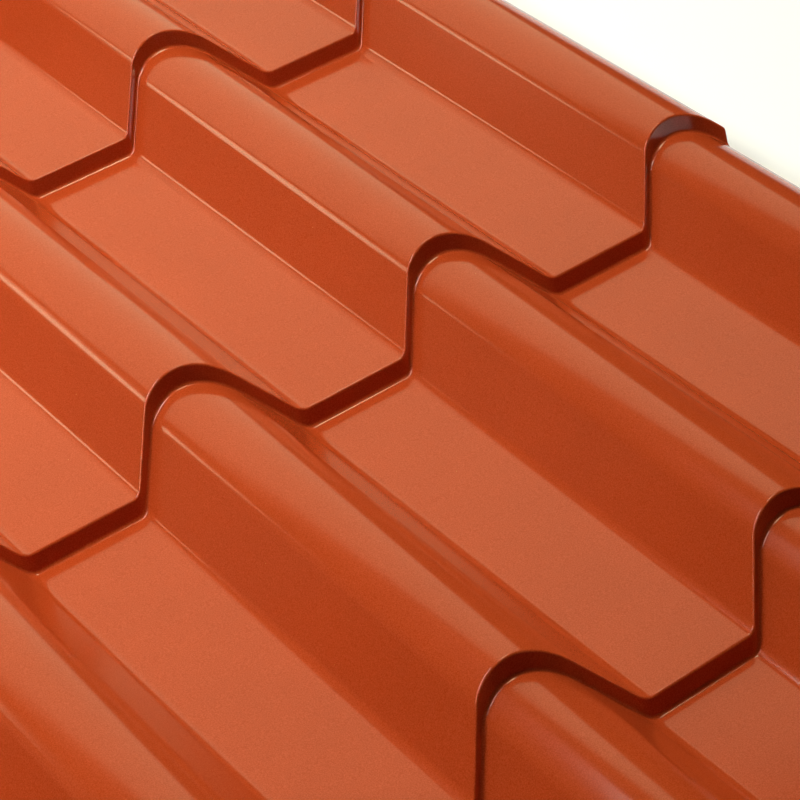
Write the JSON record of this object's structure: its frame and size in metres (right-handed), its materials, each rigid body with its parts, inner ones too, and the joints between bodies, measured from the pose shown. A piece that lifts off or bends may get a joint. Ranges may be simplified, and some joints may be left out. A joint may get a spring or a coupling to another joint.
{
  "type": "metal roofing sheet",
  "caption": "Profiled steel roofing sheet with rounded waves and stepped courses that imitate clay tiles, coated in terracotta.",
  "frame": {"origin": "centre of the sheet's footprint, on the floor that its pans rest on", "axes": "+X across the waves towards the over-lapping edge, +Y up the slope along the waves, +Z out of the roof"},
  "size_m": [1.2282, 2.266, 0.0566],
  "materials": {
    "coated_steel": "semi-gloss terracotta polyester coating"
  },
  "bodies": {
    "root": {"roofing_sheet": "coated_steel"}
  },
  "joints": []
}
